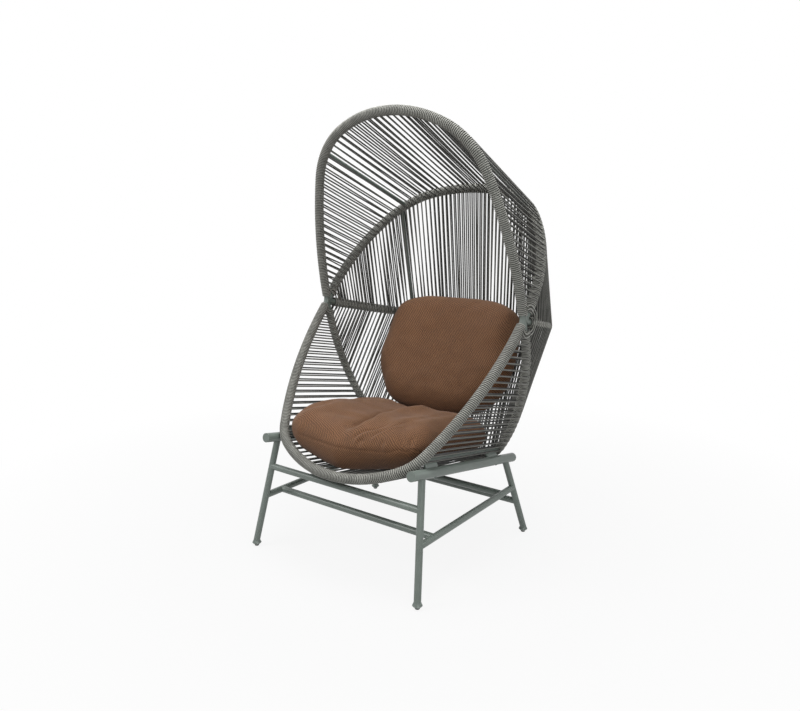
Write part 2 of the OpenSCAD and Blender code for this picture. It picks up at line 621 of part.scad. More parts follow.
// Feet: a turned collar welded under each leg, and a glide pressed into it
stem_l = 10;
rim_edge = 1.2;
flare_d = 1.08*leg_d;
module at_feet() for (side = [-1, 1], end = [-1, 1])
    translate([side*feet_x/2, feet_mid_y + end*feet_y/2, 0]) children();
module foot_collars() color(frame_colour) at_feet() rotate_extrude() polygon([
    [glide_stem_d/2 + weld_gap, glide_h], [glide_d/2 + rim_edge, glide_h],
    [collar_d/2 - rim_edge/2, collar_rim_z - rim_edge], [collar_d/2, collar_rim_z],
    [collar_d/2 - rim_edge/2, collar_rim_z + rim_edge],
    [(collar_d + flare_d)/4, (2*collar_rim_z + collar_top_z)/3 + rim_edge/2],
    [flare_d/2, collar_top_z - rim_edge/2], [leg_d/2, collar_top_z],
    [0, collar_top_z], [0, glide_h + stem_l], [glide_stem_d/2 + weld_gap, glide_h + stem_l]]);
module foot_glides() color(glide_colour) at_feet() rotate_extrude() polygon([
    [0, 0], [glide_d/2 - rim_edge, 0], [glide_d/2, rim_edge], [glide_d/2, glide_h],
    [glide_stem_d/2, glide_h], [glide_stem_d/2, glide_h + stem_l - weld_gap],
    [0, glide_h + stem_l - weld_gap]]);

// Each cushion is a middle point below, rings of points from it out to the seam and back in above, and
// a middle point above.
module cushion(c) color(cushion_colour) {
    rows = cushion_rows(c);
    n = cushion_sides;
    last = len(rows) - 1;
    polyhedron(concat(
        [for (row = rows, i = [0:n - 1]) cushion_point(c, row[0], row[1], 360*i/n)],
        [cushion_point(c, 0, -1, 0), cushion_point(c, 0, 1, 0)]),
        concat(
        [for (j = [0:last - 1], i = [0:n - 1]) let (a = j*n + i, b = j*n + (i + 1)%n) [a, b, b + n]],
        [for (j = [0:last - 1], i = [0:n - 1]) let (a = j*n + i, b = j*n + (i + 1)%n) [a, b + n, a + n]],
        [for (i = [0:n - 1]) [(i + 1)%n, i, n*(last + 1)]],
        [for (i = [0:n - 1]) [last*n + i, last*n + (i + 1)%n, n*(last + 1) + 1]]));
}
module seat_cushion() cushion(SEAT_CUSHION);
module back_cushion() cushion(BACK_CUSHION);

rail(-1);  // rail_left
rail(1);  // rail_right
rail_end_caps();
leg(-1, -1);  // leg_front_left
leg(1, -1);  // leg_front_right
leg(-1, 1);  // leg_rear_left
leg(1, 1);  // leg_rear_right
front_stretcher();
rear_stretcher();
side_stretcher(-1);  // side_stretcher_left
side_stretcher(1);  // side_stretcher_right
cross_stretcher(-1);  // cross_stretcher_front
cross_stretcher(1);  // cross_stretcher_rear
foot_collars();
foot_glides();
saddles();
saddle_bolts();
hood_rim_tube();
seat_rim_tube();
side_elbow(-1);  // side_elbow_left
side_elbow(1);  // side_elbow_right
upper_arch_tube();
belt_tube();
lower_arch_tube();
hood_rim_wrap();
seat_rim_wrap();
upper_arch_wrap();
belt_wrap();
lower_arch_wrap();
hood_struts();
back_struts();
seat_struts();
hood_outer_strands();
hood_inner_strands();
upper_back_outer_strands();
upper_back_inner_strands();
lower_back_outer_strands();
lower_back_inner_strands();
seat_outer_strands();
seat_inner_strands();
seat_cushion();
back_cushion();
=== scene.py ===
import json
import math

import bmesh
import bpy
import numpy as np
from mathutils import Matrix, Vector, noise
from mathutils.bvhtree import BVHTree


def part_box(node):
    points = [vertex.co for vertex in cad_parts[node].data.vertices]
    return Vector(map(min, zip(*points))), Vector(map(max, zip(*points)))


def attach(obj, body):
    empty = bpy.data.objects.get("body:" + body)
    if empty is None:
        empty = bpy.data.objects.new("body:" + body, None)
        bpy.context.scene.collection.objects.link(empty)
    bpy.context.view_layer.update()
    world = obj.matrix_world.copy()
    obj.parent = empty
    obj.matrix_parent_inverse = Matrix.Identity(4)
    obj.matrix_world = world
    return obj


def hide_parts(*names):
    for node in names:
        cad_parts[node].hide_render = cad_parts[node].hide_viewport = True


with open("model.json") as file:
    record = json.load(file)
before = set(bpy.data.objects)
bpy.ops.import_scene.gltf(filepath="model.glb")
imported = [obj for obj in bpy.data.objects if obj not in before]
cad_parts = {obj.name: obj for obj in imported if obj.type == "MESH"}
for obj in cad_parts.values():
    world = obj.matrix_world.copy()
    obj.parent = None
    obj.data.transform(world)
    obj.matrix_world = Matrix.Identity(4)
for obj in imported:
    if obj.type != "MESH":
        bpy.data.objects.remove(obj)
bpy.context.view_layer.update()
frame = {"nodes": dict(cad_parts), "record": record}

# Sizes of the shell, in metres. They are the frame's own, so that the rope lies on its tubes.
ROPE_R = 0.003
TUBE_R = 0.0125
LOWER_TUBE_R = 0.010
JOINT_SPAN = 0.930
JOINT_BACK = 0.153
JOINT_Z = 0.894
LEAD = 0.040
STRAIGHT_RUN = 0.008
FIRST_STRAND = 0.062
RIM_STRAND_PITCH = 0.0275
ARCH_STRAND_PITCH = 0.020
BELT_STRAND_PITCH = 0.0185

# The windings: turns of rope from one strand to the next, and where the first turn lies.
RIM_STEP_TURNS = 4
BACK_STEP_TURNS = 3
LOWER_STEP_TURNS = 4
RIM_WRAP_START = 0.022
ARCH_WRAP_START = 0.034
BUNCH = 0.12
BACK_LIFT = 0.0012
LOWER_LIFT = 0.0016

# How fine the rope is: points a turn, and sides of a turn, a strand and a loop.
TURN_POINTS = 18
TURN_SIDES = 6
STRAND_SIDES = 8

# The rope's ends. A winding sinks by TUCK over its last TUCK_RUN turns. A strand runs on for
# the first of TUCK_TURNS past the turn that it touches. PROBE, a small share of a turn, is for
# finding which way the rope runs there.
TUCK = 0.0018
TUCK_RUN = 0.25
TUCK_TURNS = (0.16, 0.08)
PROBE = 0.01

# The layers of strands, by their side of the arcs, and how far from the joints each layer's
# short loops leave their arcs.
OUTER, INNER = 1, -1
LAYERS = {OUTER: "outer", INNER: "inner"}
LOOP_PLACES = {OUTER: (0.042, 0.054), INNER: (0.048,)}
LOOP_LIFT = 0.003
LOOP_BOW = 0.55
LOOP_POINTS = 12

feet_low, feet_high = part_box("foot_collars")
FEET_MID_Y = (feet_low.y + feet_high.y) / 2
JOINT_Y = FEET_MID_Y + JOINT_BACK


# Arcs and the fans of strands between them

class Arc:
    """A tube's centre line, a plane curve through both side joints: a straight lead, a slack side,
    a tight shoulder and a crown, mirrored. Places on it are distances from the left joint. In
    degrees, tilt is how far its plane rises from level towards the back, splay how far its lead
    runs outwards, and a turn is the angle that a bend goes through."""

    def __init__(self, tilt, splay, side_r, side_turn, shoulder_r, shoulder_turn, tube_r):
        self.tilt = math.radians(tilt)
        self.normal = Vector((0, -math.sin(self.tilt), math.cos(self.tilt)))
        self.turn_r = tube_r + ROPE_R
        side, shoulder = math.radians(side_turn), math.radians(shoulder_turn)
        steps = [(LEAD, 0.0), (side_r * side, 1 / side_r), (STRAIGHT_RUN, 0.0),
                 (shoulder_r * shoulder, 1 / shoulder_r), (STRAIGHT_RUN, 0.0)]
        start, point, heading = 0.0, (JOINT_SPAN / 2, 0.0), math.radians(-splay)
        self.pieces = []
        for length, curl in steps:
            self.pieces.append((start, point, heading, curl))
            point, heading = self.step(point, heading, curl, length)
            start += length
        crown_r = (point[0] - STRAIGHT_RUN / 2) / math.cos(heading)
        crown_run = crown_r * (math.pi / 2 - heading)
        self.pieces.append((start, point, heading, 1 / crown_r))
        point, heading = self.step(point, heading, 1 / crown_r, crown_run)
        start += crown_run
        self.pieces.append((start, point, heading, 0.0))
        self.half = start + STRAIGHT_RUN / 2
        self.length = 2 * self.half

    @staticmethod
    def step(point, heading, curl, length):
        """The point and the heading after a length of a line or, with a curl, of a circle."""
        x, y = point
        if curl == 0:
            return (x - length * math.sin(heading), y + length * math.cos(heading)), heading
        r, end = 1 / curl, heading + length * curl
        return (x + r * (math.cos(end) - math.cos(heading)),
                y + r * (math.sin(end) - math.sin(heading))), end

    def at(self, s):
        """The place and the direction at a distance from the left joint."""
        side = -1 if s <= self.half else 1
        along = s if side < 0 else self.length - s
        start, point, heading, curl = [p for p in self.pieces if p[0] <= max(along, 0.0)][-1]
        (x, y), heading = self.step(point, heading, curl, along - start)
        cos, sin = math.cos(self.tilt), math.sin(self.tilt)
        rise = -side * math.cos(heading)
        return (Vector((side * x, JOINT_Y + y * cos, JOINT_Z + y * sin)),
                Vector((math.sin(heading), rise * cos, rise * sin)))


class Fan:
    """The strands between two arcs, and the name that its nodes start with. steps is the number of
    pitches in half of counted, and last is how many of them have strands."""

    def __init__(self, name, first, second, counted, pitch):
        self.name, self.first, self.second = name, first, second
        self.steps = round(counted.half / pitch)
        self.last = self.steps * (1 - FIRST_STRAND / min(first.half, second.half))


hood_rim = Arc(104, -2.4, 1.775, 15.4, 0.300, 47.1, TUBE_R)
upper_arch = Arc(50, 2.5, 0.687, 36.7, 0.309, 40.5, TUBE_R)
belt = Arc(-12, 0, 0.814, 12.8, 0.208, 57.6, TUBE_R)
lower_arch = Arc(-76.2, 1.1, 0.860, 34, 0.232, 50.3, LOWER_TUBE_R)
seat_rim = Arc(-134, -2.4, 1.370, 23.2, 0.183, 34.6, TUBE_R)

hood = Fan("hood", hood_rim, upper_arch, hood_rim, RIM_STRAND_PITCH)
upper_back = Fan("upper_back", upper_arch, belt, upper_arch, ARCH_STRAND_PITCH)
lower_back = Fan("lower_back", belt, lower_arch, belt, BELT_STRAND_PITCH)
seat = Fan("seat", lower_arch, seat_rim, seat_rim, RIM_STRAND_PITCH)


# Rope

class Winding:
    """The turns of rope on an arc. Between the strands that part them they bunch a little and
    stand a little higher."""

    def __init__(self, arc, step_turns, steps, start, bunch=0.0, lift=0.0):
        self.arc, self.step_turns, self.bunch, self.lift = arc, step_turns, bunch, lift
        self.pitch = arc.half / steps / step_turns
        self.half_turns = (arc.half - start) / self.pitch

    def place(self, turn):
        """The distance along the arc at a number of turns from its middle."""
        wave = 2 * math.pi * turn / self.step_turns
        swing = self.bunch * math.sin(wave) * self.step_turns / (2 * math.pi)
        return self.arc.half + self.pitch * (turn - swing)

    def point(self, turn, grow=0.0):
        """The rope's centre at a turn, moved out of the tube by grow."""
        wave = math.cos(2 * math.pi * turn / self.step_turns)
        r = self.arc.turn_r + grow + self.lift * (1 - wave) / 2
        return self.arc.at(self.place(turn))[0] + r * self.out(turn)

    def out(self, turn):
        """The way out of the tube at a turn."""
        along = self.arc.at(self.place(turn))[1]
        angle = 2 * math.pi * turn
        return math.cos(angle) * self.arc.normal + math.sin(angle) * along.cross(self.arc.normal)

    def nearest_turn(self, s, out):
        """The turn nearest to s that faces the direction out."""
        across = self.arc.at(s)[1].cross(self.arc.normal)
        facing = math.atan2(out.dot(across), out.dot(self.arc.normal)) / (2 * math.pi)
        turn = (s - self.arc.half) / self.pitch
        return round(turn - facing) + facing


windings = {
    hood_rim: Winding(hood_rim, RIM_STEP_TURNS, hood.steps, RIM_WRAP_START),
    seat_rim: Winding(seat_rim, RIM_STEP_TURNS, seat.steps, RIM_WRAP_START),
    upper_arch: Winding(upper_arch, BACK_STEP_TURNS, upper_back.steps, ARCH_WRAP_START,
                        BUNCH, BACK_LIFT),
    belt: Winding(belt, BACK_STEP_TURNS, lower_back.steps, ARCH_WRAP_START, BUNCH, BACK_LIFT),
    lower_arch: Winding(lower_arch, LOWER_STEP_TURNS, seat.steps, ARCH_WRAP_START,
                        BUNCH, LOWER_LIFT)}


def add_object(name, data):
    thing = bpy.data.objects.new(name, data)
    bpy.context.scene.collection.objects.link(thing)
    return thing


def tube_along(route, outs, sides):
    """The points, faces and UVs of an open tube of rope along a route. outs are directions out of
    the route, one for each of its points."""
    route, outs = np.array([tuple(p) for p in route]), np.array([tuple(o) for o in outs])
    step = np.diff(route, axis=0)
    way = np.vstack([step[:1], step[:-1] + step[1:], step[-1:]])
    way /= np.linalg.norm(way, axis=1)[:, None]
    side = outs - (outs * way).sum(1)[:, None] * way
    side /= np.linalg.norm(side, axis=1)[:, None]
    up = np.cross(way, side)
    angle = np.arange(sides) * 2 * math.pi / sides
    ring = (route[:, None] + ROPE_R * (np.cos(angle)[None, :, None] * side[:, None]
                                       + np.sin(angle)[None, :, None] * up[:, None]))
    i, j = np.meshgrid(np.arange(len(route) - 1), np.arange(sides), indexing="ij")
    k = (j + 1) % sides
    quad = [i * sides + j, i * sides + k, (i + 1) * sides + k, (i + 1) * sides + j]
    run = np.concatenate([[0], np.cumsum(np.linalg.norm(step, axis=1))])
    girth = 2 * math.pi * ROPE_R / sides
    corners = [(run[i], j * girth), (run[i], (j + 1) * girth),
               (run[i + 1], (j + 1) * girth), (run[i + 1], j * girth)]
    uv = np.stack([np.stack(corner, -1) for corner in corners], 2)
    return ring.reshape(-1, 3), np.stack(quad, -1).reshape(-1, 4), uv.reshape(-1, 2)


def sweep(name, routes, sides):
    """Closed round rope along each route. Its UV map has the rope's length and girth in metres."""
    points, faces, uvs, count = [], [], [], 0
    for route, outs in routes:
        ring, quad, uv = tube_along(route, outs, sides)
        points.append(ring)
        faces.append(quad + count)
        uvs.append(uv)
        count += len(ring)
    points, faces, uvs = np.vstack(points), np.vstack(faces), np.vstack(uvs)
    mesh = bpy.data.meshes.new(name)
    mesh.vertices.add(len(points))
    mesh.vertices.foreach_set("co", points.ravel())
    mesh.loops.add(faces.size)
    mesh.loops.foreach_set("vertex_index", faces.ravel().astype(np.int32))
    mesh.polygons.add(len(faces))
    mesh.polygons.foreach_set("loop_start", np.arange(0, faces.size, 4, dtype=np.int32))
    mesh.uv_layers.new(name="rope").data.foreach_set("uv", uvs.ravel())
    mesh.polygons.foreach_set("use_smooth", np.ones(len(faces), bool))
    mesh.update(calc_edges=True)
    mesh.validate()
    b = bmesh.new()
    b.from_mesh(mesh)
    bmesh.ops.holes_fill(b, edges=[e for e in b.edges if e.is_boundary], sides=sides)
    b.to_mesh(mesh)
    b.free()
    return add_object(name, mesh)


def wind(name, winding):
    """One unbroken rope wound on an arc, with each end tucked under its last turn."""
    half = winding.half_turns
    count = round(2 * half * TURN_POINTS)
    turns = [float(t) for t in np.linspace(-half, half, count)]
    tucks = [max(0.0, 1 - (half - abs(t)) / TUCK_RUN) for t in turns]
    route = [winding.point(t, grow=-TUCK * tuck) for t, tuck in zip(turns, tucks)]
    return sweep(name, [(route, [winding.out(t) for t in turns])], TURN_SIDES)


def strand_route(fan, from_left, layer):
    """A strand, tangent to a turn on each of its arcs, whose ends both go on under the turns."""
    arcs = (fan.first, fan.second)
    ends = [arc.length * from_left for arc in arcs]
    places = [arc.at(s) for arc, s in zip(arcs, ends)]
    gap = places[1][0] - places[0][0]
    outs = [-layer * gap.cross(along).normalized() for _, along in places]
    turns = [windings[arc].nearest_turn(s, out) for arc, s, out in zip(arcs, ends, outs)]
    tips = [windings[arc].point(turn) for arc, turn in zip(arcs, turns)]
    halves = []
    for i, (arc, turn) in enumerate(zip(arcs, turns)):
        winding = windings[arc]
        onward = winding.point(turn + PROBE) - winding.point(turn - PROBE)
        sign = -1 if onward.dot(tips[1 - i] - tips[i]) > 0 else 1
        halves.append([winding.point(turn + sign * t, grow=-ROPE_R * t) for t in TUCK_TURNS]
                      + [tips[i]])
    route_outs = [outs[0]] * len(halves[0]) + [outs[1]] * len(halves[1])
    return halves[0] + halves[1][::-1], route_outs


def strand_layer(fan, layer):
    """Every strand of a layer. The outer layer's stand half a step from the inner layer's."""
    first = 0.5 if layer == OUTER else 0.0
    steps = [first + i for i in range(int(fan.last - first) + 1)]
    shares = [0.5 * (1 - side * k / fan.steps)
              for k in steps for side in (-1, 1) if k > 0 or side > 0]
    routes = [strand_route(fan, share, layer) for share in sorted(shares)]
    return sweep(f"{fan.name}_{LAYERS[layer]}_ropes", routes, STRAND_SIDES)


def side_loops(fan, layer):
    """The short loops beside the joints. They leave each arc square to it, and so bow away from
    the joint, along a cubic curve from tip to tip."""
    arcs, routes = (fan.first, fan.second), []
    shares = [i / LOOP_POINTS for i in range(LOOP_POINTS + 1)]
    for distance in LOOP_PLACES[layer]:
        for left in (True, False):
            ends = [arc.at(distance if left else arc.length - distance) for arc in arcs]
            gap = ends[1][0] - ends[0][0]
            tips, aims, outs = [], [], []
            for (place, along), arc, way in zip(ends, arcs, (1, -1)):
                out = -layer * gap.cross(along).normalized()
                square = way * (gap - gap.dot(along) * along).normalized()
                tips.append(place + (arc.turn_r + LOOP_LIFT) * out)
                aims.append(tips[-1] + LOOP_BOW * gap.length * square)
                outs.append(out)
            route = [(1 - t) ** 3 * tips[0] + 3 * t * (1 - t) ** 2 * aims[0]
                     + 3 * t * t * (1 - t) * aims[1] + t ** 3 * tips[1] for t in shares]
            routes.append((route, [outs[0].lerp(outs[1], t) for t in shares]))
    return sweep(f"{fan.name}_{LAYERS[layer]}_loops", routes, STRAND_SIDES)


# Materials

def linear(hex_colour):
    """An sRGB hex colour as linear red, green, blue and alpha."""
    parts = [int(hex_colour[i:i + 2], 16) / 255 for i in (1, 3, 5)]
    return (*[c / 12.92 if c <= 0.04045 else ((c + 0.055) / 1.055) ** 2.4 for c in parts], 1.0)


WHITE = linear("#ffffff")


def new_material(name):
    material = bpy.data.materials.new(name)
    material.use_nodes = True
    tree = material.node_tree
    return material, tree, tree.nodes["Principled BSDF"]


def add(tree, kind, settings=None, **links):
    """Adds a node, sets its properties, and sets its sockets or links them to other nodes. A
    socket goes by its name, or by the letter i and its number."""
    node = tree.nodes.new(kind)
    for key, value in (settings or {}).items():
        setattr(node, key, value)
    for key, value in links.items():
        numbered = key[0] == "i" and key[1:].isdigit()
        socket = node.inputs[int(key[1:]) if numbered else key]
        if isinstance(value, bpy.types.NodeSocket):
            tree.links.new(value, socket)
        else:
            socket.default_value = value
    return node


def maths(tree, operation, *values):
    """What a math node makes of its values, which are numbers or other nodes' results."""
    links = {f"i{i}": value for i, value in enumerate(values)}
    return add(tree, "ShaderNodeMath", {"operation": operation}, **links).outputs[0]


def object_place(tree):
    return add(tree, "ShaderNodeTexCoord").outputs["Object"]


def noise_at(tree, place, scale, detail):
    return add(tree, "ShaderNodeTexNoise", Vector=place, Scale=scale, Detail=detail).outputs["Fac"]


def span(tree, value, **limits):
    """A value mapped from one range to another, by default to 0 to 1."""
    limits = {name.replace("_", " ").title(): limit for name, limit in limits.items()}
    return add(tree, "ShaderNodeMapRange", Value=value, **limits).outputs[0]


def ramp(tree, factor, *stops):
    node = add(tree, "ShaderNodeValToRGB", Fac=factor)
    elements = node.color_ramp.elements
    elements[0].position, elements[0].color = stops[0][0], linear(stops[0][1])
    elements[1].position, elements[1].color = stops[-1][0], linear(stops[-1][1])
    for position, colour in stops[1:-1]:
        elements.new(position).color = linear(colour)
    return node.outputs["Color"]


def bump(tree, shader, height, strength, distance):
    node = add(tree, "ShaderNodeBump", Height=height, Strength=strength, Distance=distance)
    tree.links.new(node.outputs["Normal"], shader.inputs["Normal"])


def finish(tree, shader, colour, roughness, **others):
    """Links the colour, and sets the shader's roughness and its other values."""
    tree.links.new(colour, shader.inputs["Base Color"])
    shader.inputs["Roughness"].default_value = roughness
    for name, value in others.items():
        shader.inputs[name.replace("_", " ")].default_value = value


def powder_coat():
    """Powder-coated aluminium tube: a satin grey-green skin with a faint orange peel."""
    material, tree, shader = new_material("powder_coated_aluminium")
    place = object_place(tree)
    cloud = noise_at(tree, place, scale=9.0, detail=3.0)
    peel = noise_at(tree, place, scale=700.0, detail=2.0)
    bump(tree, shader, peel, strength=0.12, distance=0.0003)
    colour = ramp(tree, cloud, (0.35, "#69726c"), (0.65, "#717a74"))
    finish(tree, shader, colour, roughness=0.36, IOR=1.5)
    return material


def rope_cord(name, dark, grey, painted_lit):
    """Braided olefin cord, matt: four carriers cross four on the lay, so that each crossing shows
    as a small lozenge. Its colour holds painted light and shade: the outer side is painted
    lighter, and the sides that lie against the next turn are painted darker."""
    lay, carriers = 0.010, 4
    light_and_shade_share, worn_share = 0.65, 0.35
    material, tree, shader = new_material(name)
    run = add(tree, "ShaderNodeUVMap", {"uv_map": "rope"}).outputs["UV"]
    split = add(tree, "ShaderNodeSeparateXYZ", Vector=run)
    along = maths(tree, "MULTIPLY", split.outputs["X"], 2 * math.pi / lay)
    girth = 2 * math.pi * ROPE_R
    around = maths(tree, "MULTIPLY", split.outputs["Y"], 2 * math.pi * carriers / girth)
    braids = [maths(tree, "SINE", maths(tree, way, along, around)) for way in ("ADD", "SUBTRACT")]
    weave = maths(tree, "MULTIPLY", *braids)
    place = object_place(tree)
    fibre = noise_at(tree, place, scale=900.0, detail=3.0)
    height = maths(tree, "MULTIPLY_ADD", weave, 0.5, fibre)
    bump(tree, shader, height, strength=0.5, distance=0.0004)
    cloud = noise_at(tree, place, scale=26.0, detail=2.0)
    mixed = maths(tree, "MULTIPLY_ADD", height, 0.25, cloud)
    # Painted light and shade: read from the girth in the UV map, the rope's outer side is painted
    # lighter and the sides against the next turn darker.
    outward = maths(tree, "COSINE", maths(tree, "DIVIDE", split.outputs["Y"], ROPE_R))
    open_to_light = span(tree, outward, from_min=0.45, from_max=0.97)
    worn = maths(tree, "MULTIPLY", mixed, worn_share)
    tone = maths(tree, "MULTIPLY_ADD", open_to_light, light_and_shade_share, worn)
    # The dark stop is the painted shade between turns, and the last stop is the painted light on
    # the outer side.
    colour = ramp(tree, tone, (0.15, dark), (0.6, grey), (0.95, painted_lit))
    finish(tree, shader, colour, roughness=0.72, Sheen_Weight=0.15, Sheen_Roughness=0.5)
    return material


def twill():
    """Heavy outdoor twill: brown yarns crossed by darker ones in steep diagonals, with a soft nap.
    The diagonals stand 6.6 mm apart, coarser than the cloth's own, so that the photograph's view
    shows them. The cloth is laid in three planes, and each face takes the plane that it looks
    out of."""
    rib, waviness, plane_edge = 0.0066, 5.0, 6.0
    planes = {"Z": ((0.35, 1.0, 0.0), (1.0, -0.35, 0.0)),
              "Y": ((0.75, 0.0, 0.75), (0.75, 0.0, -0.75)),
              "X": ((0.0, 0.75, 0.75), (0.0, 0.75, -0.75))}
    material, tree, shader = new_material("woven_twill")
    place = object_place(tree)
    normal = add(tree, "ShaderNodeNewGeometry").outputs["Normal"]
    facing = add(tree, "ShaderNodeSeparateXYZ", Vector=normal)
    waver = noise_at(tree, place, scale=55.0, detail=1.0)
    cloth, weights = 0.0, 0.0
    for axis, ways in planes.items():
        weight = maths(tree, "POWER", maths(tree, "ABSOLUTE", facing.outputs[axis]), plane_edge)
        rows = []
        for way in ways:
            along = add(tree, "ShaderNodeVectorMath", {"operation": "DOT_PRODUCT"},
                        i0=place, i1=way).outputs["Value"]
            sway = maths(tree, "MULTIPLY", waver, waviness)
            phase = maths(tree, "MULTIPLY_ADD", along, 2 * math.pi / rib, sway)
            rows.append(maths(tree, "SINE", phase))
        both = maths(tree, "MULTIPLY_ADD", rows[1], 0.45, rows[0])
        cloth = maths(tree, "MULTIPLY_ADD", both, weight, cloth)
        weights = maths(tree, "ADD", weight, weights)
    wale = maths(tree, "DIVIDE", cloth, weights)
    yarn = noise_at(tree, place, scale=420.0, detail=3.0)
    height = maths(tree, "MULTIPLY_ADD", wale, 0.3, yarn)
    bump(tree, shader, height, strength=0.5, distance=0.0008)
    cloud = noise_at(tree, place, scale=16.0, detail=4.0)
    mixed = maths(tree, "MULTIPLY_ADD", cloud, 0.25, height)
    colour = ramp(tree, mixed, (0.25, "#3a2514"), (0.62, "#5f3f26"), (1.0, "#805838"))
    finish(tree, shader, colour, roughness=0.88, Sheen_Weight=0.05, Sheen_Roughness=0.5)
    return material


def moulded_rubber():
    """Moulded black rubber: matt, with a fine grain from its mould."""
    material, tree, shader = new_material("moulded_rubber")
    grain = noise_at(tree, object_place(tree), scale=1500.0, detail=2.0)
    bump(tree, shader, grain, strength=0.3, distance=0.0002)
    finish(tree, shader, ramp(tree, grain, (0.3, "#161616"), (0.7, "#222222")), roughness=0.7)
    return material


def painted_steel():
    """Painted steel screws, a shade darker than the tubes, with tool marks in the paint."""
    material, tree, shader = new_material("painted_steel")
    marks = noise_at(tree, object_place(tree), scale=1200.0, detail=2.0)
    bump(tree, shader, marks, strength=0.2, distance=0.0002)
    finish(tree, shader, ramp(tree, marks, (0.3, "#4d5752"), (0.7, "#5d6862")), roughness=0.4)
    return material


def dress(piece, material, body="chair"):
    """Gives a piece its material and the body that it moves with."""
    piece.data.materials.clear()
    piece.data.materials.append(material)
    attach(piece, body)


paint, cushion_cloth = powder_coat(), twill()
cord_cloth = rope_cord("braided_olefin_cord", "#262621", "#6d6d67", "#a3a39c")
# The strands' cord is the same cord as the windings', given darker colours: a painted shade, not
# another material.
shaded_strand_cord = rope_cord("braided_olefin_cord_shaded", "#191916", "#50504b", "#7b7b75")
slot_finish = {"frame_paint": paint, "rope": cord_cloth, "cushion_cloth": cushion_cloth,
               "glide": moulded_rubber(), "bolt": painted_steel()}
for part in frame["record"]["subparts"]:
    node = frame["nodes"][part["node"]]
    node.data.materials.clear()
    node.data.materials.append(slot_finish[part["material_slot"]])

for arc, name in ((hood_rim, "hood_rim"), (seat_rim, "seat_rim"), (upper_arch, "upper_arch"),
                  (belt, "belt"), (lower_arch, "lower_arch")):
    rope = wind(f"{name}_turns", windings[arc])
    dress(rope, cord_cloth)
    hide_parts(f"{name}_wrap")
for fan in (hood, upper_back, lower_back, seat):
    for layer, side in LAYERS.items():
        rope = strand_layer(fan, layer)
        dress(rope, shaded_strand_cord)
        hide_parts(f"{fan.name}_{side}_strands")
        dress(side_loops(fan, layer), cord_cloth)


# Cushions

# The covers' meshes, in metres: corners nearer than MERGE are one, and the remesh's grain.
MERGE = 0.0002
COVER_VOXEL = 0.0070
SMOOTHINGS = 8

# The seam is read off the cushion's widest loop, at SEAM_POINTS directions. A corner less than
# SEAM_SLACK short of the farthest one counts with it.
SEAM_POINTS = 360
SEAM_SLACK = 0.0005
SEAM_SMOOTHINGS = 12
SEAM_DEPTH = 0.0030
SEAM_WIDTH = 0.0030

# The cloth is held within SEAM_HOLD of the seam, and kept this far outside and inside its shape.
# Faces whose normal points down past UNDERSIDE don't swell.
SEAM_HOLD = 0.030
CLOTH_SWELL = 0.008
CLOTH_SINK = 0.004
UNDERSIDE = -0.3
CLOTH_FRAMES = 20
CLOTH_SETTINGS = {"quality": 5, "mass": 0.3, "tension_stiffness": 15,
                  "compression_stiffness": 15, "bending_stiffness": 0.5,
                  "vertex_group_mass": "seam", "use_pressure": True,
                  "uniform_pressure_force": 4.0}

# A cover rests on the strands where it comes within NET_REACH, with its face NET_GAP off them.
NET_REACH = 0.045
NET_GAP = ROPE_R + 0.0006

# Folds and unevenness fade out from the top to the underside, and the unevenness has two sizes
# of wave, in waves a metre, of which the fine one is half as high.
TOP_FADE = 0.35
TOP_SHARE = 0.6
BROAD_WAVES = 9.0
FINE_WAVES = 21.0


def merged_copy(node, name):
    """A copy of a node's mesh with its corners merged."""
    mesh = frame["nodes"][node].data.copy()
    b = bmesh.new()
    b.from_mesh(mesh)
    bmesh.ops.remove_doubles(b, verts=b.verts, dist=MERGE)
    bmesh.ops.recalc_face_normals(b, faces=b.faces)
    b.to_mesh(mesh)
    b.free()
    return add_object(name, mesh)


def apply_modifiers(piece):
    evaluated = piece.evaluated_get(bpy.context.evaluated_depsgraph_get())
    baked = bpy.data.meshes.new_from_object(evaluated)
    piece.modifiers.clear()
    piece.data = baked


def seam_line(piece, up):
    """The line round a cushion where its two panels are sewn together: its widest loop, seen
    along up. It ends where it starts."""
    side = up.cross(Vector((0, 1, 0))).normalized()
    ahead = up.cross(side)
    corners = np.array([tuple(v.co) for v in piece.data.vertices])
    loop = []
    for i in range(SEAM_POINTS):
        angle = 2 * math.pi * i / SEAM_POINTS
        far = corners @ np.array(tuple(math.cos(angle) * side + math.sin(angle) * ahead))
        loop.append(corners[far > far.max() - SEAM_SLACK].mean(axis=0))
    loop = np.array(loop)
    for _ in range(SEAM_SMOOTHINGS):
        loop = (np.roll(loop, 1, axis=0) + 2 * loop + np.roll(loop, -1, axis=0)) / 4
    return np.vstack([loop, loop[:1]])


def near_line(points, line):
    """How far each point is from a line of points, on which side of it (1 or -1), and how far
    along it, from 0 to 1."""
    best = np.full(len(points), np.inf)
    side, share = np.zeros(len(points)), np.zeros(len(points))
    for i in range(len(line) - 1):
        start, run = line[i], line[i + 1] - line[i]
        t = np.clip(((points - start) @ run) / (run @ run), 0, 1)
        gap = points - (start + t[:, None] * run)
        far = np.linalg.norm(gap, axis=1)
        close = far < best
        best[close] = far[close]
        side[close] = np.sign(run[0] * gap[close, 1] - run[1] * gap[close, 0])
        share[close] = (i + t[close]) / (len(line) - 1)
    return best, side, share


